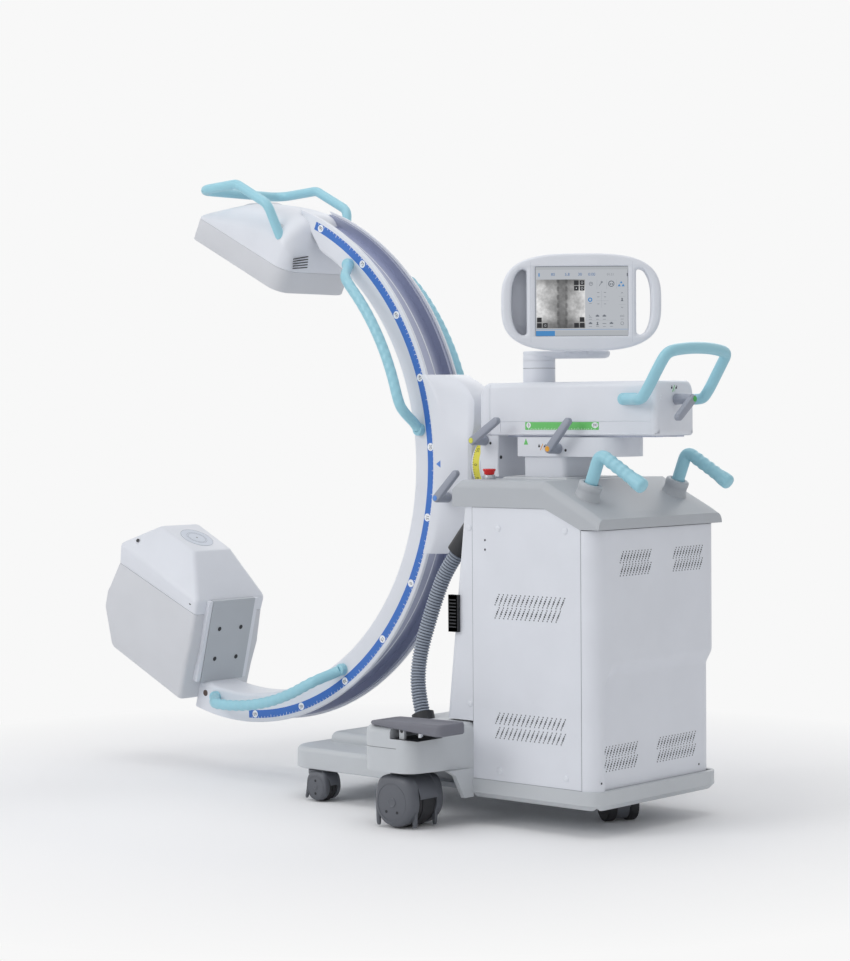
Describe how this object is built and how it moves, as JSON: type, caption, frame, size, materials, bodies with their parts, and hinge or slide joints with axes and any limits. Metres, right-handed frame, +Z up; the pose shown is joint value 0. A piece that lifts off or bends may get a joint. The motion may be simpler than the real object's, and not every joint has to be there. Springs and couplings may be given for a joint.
{
  "type": "mobile c-arm x-ray stand",
  "caption": "Mobile X-ray stand: a C-shaped arm with a flat detector and a tube housing turns and slides in a carriage on a lifting, panning arm above a wheeled cabinet with a touch screen.",
  "frame": {"origin": "centre of the bounding box at floor level", "axes": "+X from the C to the cabinet and the push handles, +Y to the operator's right, +Z up"},
  "size_m": [1.9512, 0.856, 1.5851],
  "materials": {
    "white_cover": "satin white cover",
    "grey_cover": "light grey moulded cover",
    "painted_steel": "powder coated steel",
    "cast_aluminium": "machined and painted aluminium",
    "blue_handle": "pale blue coated handle",
    "dark_window": "ringed plastic window",
    "electronics": "bare metal boxes",
    "red_button": "glossy red",
    "caster_plastic": "dark grey moulded hood",
    "wheel_tread": "polyurethane tread",
    "dark_plastic": "black nylon",
    "hose_plastic": "corrugated grey hose",
    "grey_lever": "grey coated lever",
    "grey_metal": "grey painted aluminium",
    "pedal_plastic": "grey rubber topped pedal",
    "steel_pin": "bright steel",
    "screen_glass": "dark touch screen"
  },
  "bodies": {
    "chassis": {"base_frame": "painted_steel", "nose_cover": "white_cover", "shoulder_cover": "white_cover", "side_panel_left": "white_cover", "side_panel_right": "white_cover", "front_cover": "white_cover", "rear_cover": "white_cover", "base_skirt": "grey_cover", "top_cover": "grey_cover", "column_guide": "cast_aluminium", "lift_actuator": "cast_aluminium", "generator_unit": "electronics", "push_handles": "blue_handle", "panel_caps": "grey_cover", "hose_glands": "dark_plastic", "hose": "hose_plastic", "pedal_pins": "steel_pin"},
    "estop": {"estop_button": "red_button"},
    "pedal_left": {"pedal_left": "pedal_plastic"},
    "pedal_right": {"pedal_right": "pedal_plastic"},
    "column": {"lift_column": "cast_aluminium"},
    "pan": {"pan_head": "grey_metal"},
    "arm": {"arm_rail": "cast_aluminium", "arm_shell": "white_cover", "arm_end_cap": "white_cover", "arm_handle": "blue_handle", "arm_drum": "grey_cover", "monitor_post": "grey_metal"},
    "carriage": {"yoke_hub": "grey_metal", "carriage_cover": "white_cover", "guide_blocks": "dark_plastic", "carriage_frame": "cast_aluminium"},
    "c": {"c_arc": "cast_aluminium", "c_handles": "blue_handle", "detector_tray": "white_cover", "detector_sensor": "electronics", "detector_cover": "white_cover", "detector_handle": "blue_handle", "tank_housing": "white_cover", "tank_cover": "white_cover", "beam_window": "dark_window", "xray_tube_insert": "steel_pin", "tank_bracket": "grey_metal"},
    "monitor_link": {"monitor_arm": "grey_metal"},
    "monitor": {"monitor_housing": "white_cover", "screen": "screen_glass"},
    "orbit_lever": {"lever_orbit": "grey_lever"},
    "rotation_lever": {"lever_rotation": "grey_lever"},
    "pan_lever": {"lever_pan": "grey_lever"},
    "travel_lever": {"lever_travel": "grey_lever"},
    "main_fork_left": {"main_fork_left": "caster_plastic"},
    "main_wheel_left": {"main_wheel_left": "wheel_tread"},
    "front_fork_left": {"front_fork_left": "caster_plastic"},
    "front_wheel_left": {"front_wheel_left": "wheel_tread"},
    "main_fork_right": {"main_fork_right": "caster_plastic"},
    "main_wheel_right": {"main_wheel_right": "wheel_tread"},
    "front_fork_right": {"front_fork_right": "caster_plastic"},
    "front_wheel_right": {"front_wheel_right": "wheel_tread"},
    "rear_fork": {"rear_fork": "caster_plastic"},
    "rear_wheels": {"rear_wheels": "wheel_tread"}
  },
  "joints": [
    {"name": "column_lift", "type": "slide", "parent": "chassis", "child": "column", "axis": [0, 0, 1], "range_m": [0, 0.42]},
    {"name": "arm_pan", "type": "hinge", "parent": "column", "child": "pan", "pos_m": [0.54657, 0, 0.866], "axis": [0, 0, 1], "range_deg": [-12.5, 12.5]},
    {"name": "arm_travel", "type": "slide", "parent": "pan", "child": "arm", "axis": [-1, 0, 0], "range_m": [0, 0.2]},
    {"name": "c_rotation", "type": "hinge", "parent": "arm", "child": "carriage", "pos_m": [0.34957, 0, 0.844], "axis": [1, 0, 0], "range_deg": [-180, 180]},
    {"name": "c_orbit", "type": "hinge", "parent": "carriage", "child": "c", "pos_m": [-0.49743, 0, 0.844], "axis": [0, 1, 0], "range_deg": [-76, 43]},
    {"name": "monitor_swivel", "type": "hinge", "parent": "arm", "child": "monitor_link", "pos_m": [0.47757, 0, 1.095], "axis": [0, 0, 1], "range_deg": [-90, 90]},
    {"name": "monitor_tilt", "type": "hinge", "parent": "monitor_link", "child": "monitor", "pos_m": [0.57309, 0.03399, 1.205], "axis": [0.7478, 0.6639, 0], "range_deg": [-10, 10]},
    {"name": "orbit_lever_turn", "type": "hinge", "parent": "carriage", "child": "orbit_lever", "pos_m": [0.25457, -0.085, 0.763], "axis": [0, 1, 0], "range_deg": [-50, 0]},
    {"name": "rotation_lever_turn", "type": "hinge", "parent": "arm", "child": "rotation_lever", "pos_m": [0.36657, -0.075, 0.904], "axis": [0, 1, 0], "range_deg": [-60, 0]},
    {"name": "pan_lever_turn", "type": "hinge", "parent": "pan", "child": "pan_lever", "pos_m": [0.59457, -0.075, 0.885], "axis": [0, 1, 0], "range_deg": [-50, 20]},
    {"name": "travel_lever_turn", "type": "hinge", "parent": "arm", "child": "travel_lever", "pos_m": [0.88257, 0, 1], "axis": [1, 0, 0], "range_deg": [-40, 40]},
    {"name": "estop_press", "type": "slide", "parent": "chassis", "child": "estop", "axis": [0, 0, -1], "range_m": [0, 0.005], "stiffness_N_per_m": 900, "springref_m": -0.001},
    {"name": "pedal_left_press", "type": "hinge", "parent": "chassis", "child": "pedal_left", "pos_m": [0.39457, -0.38, 0.232], "axis": [0, 1, 0], "range_deg": [0, 8]},
    {"name": "main_swivel_left", "type": "hinge", "parent": "chassis", "child": "main_fork_left", "pos_m": [0.33857, -0.358, 0.14], "axis": [0, 0, 1], "continuous": true},
    {"name": "main_roll_left", "type": "hinge", "parent": "main_fork_left", "child": "main_wheel_left", "pos_m": [0.36657, -0.358, 0.062], "axis": [0, 1, 0], "continuous": true},
    {"name": "front_swivel_left", "type": "hinge", "parent": "chassis", "child": "front_fork_left", "pos_m": [-0.07043, -0.222, 0.084], "axis": [0, 0, 1], "continuous": true},
    {"name": "front_roll_left", "type": "hinge", "parent": "front_fork_left", "child": "front_wheel_left", "pos_m": [-0.04543, -0.222, 0.037], "axis": [0, 1, 0], "continuous": true},
    {"name": "pedal_right_press", "type": "hinge", "parent": "chassis", "child": "pedal_right", "pos_m": [0.39457, 0.38, 0.232], "axis": [0, 1, 0], "range_deg": [0, 8]},
    {"name": "main_swivel_right", "type": "hinge", "parent": "chassis", "child": "main_fork_right", "pos_m": [0.33857, 0.358, 0.14], "axis": [0, 0, 1], "continuous": true},
    {"name": "main_roll_right", "type": "hinge", "parent": "main_fork_right", "child": "main_wheel_right", "pos_m": [0.36657, 0.358, 0.062], "axis": [0, 1, 0], "continuous": true},
    {"name": "front_swivel_right", "type": "hinge", "parent": "chassis", "child": "front_fork_right", "pos_m": [-0.07043, 0.222, 0.084], "axis": [0, 0, 1], "continuous": true},
    {"name": "front_roll_right", "type": "hinge", "parent": "front_fork_right", "child": "front_wheel_right", "pos_m": [-0.04543, 0.222, 0.037], "axis": [0, 1, 0], "continuous": true},
    {"name": "rear_swivel", "type": "hinge", "parent": "chassis", "child": "rear_fork", "pos_m": [0.72457, 0, 0.084], "axis": [0, 0, 1], "continuous": true},
    {"name": "rear_roll", "type": "hinge", "parent": "rear_fork", "child": "rear_wheels", "pos_m": [0.70082, 0.01284, 0.037], "axis": [0.4756, 0.8796, 0], "continuous": true}
  ]
}
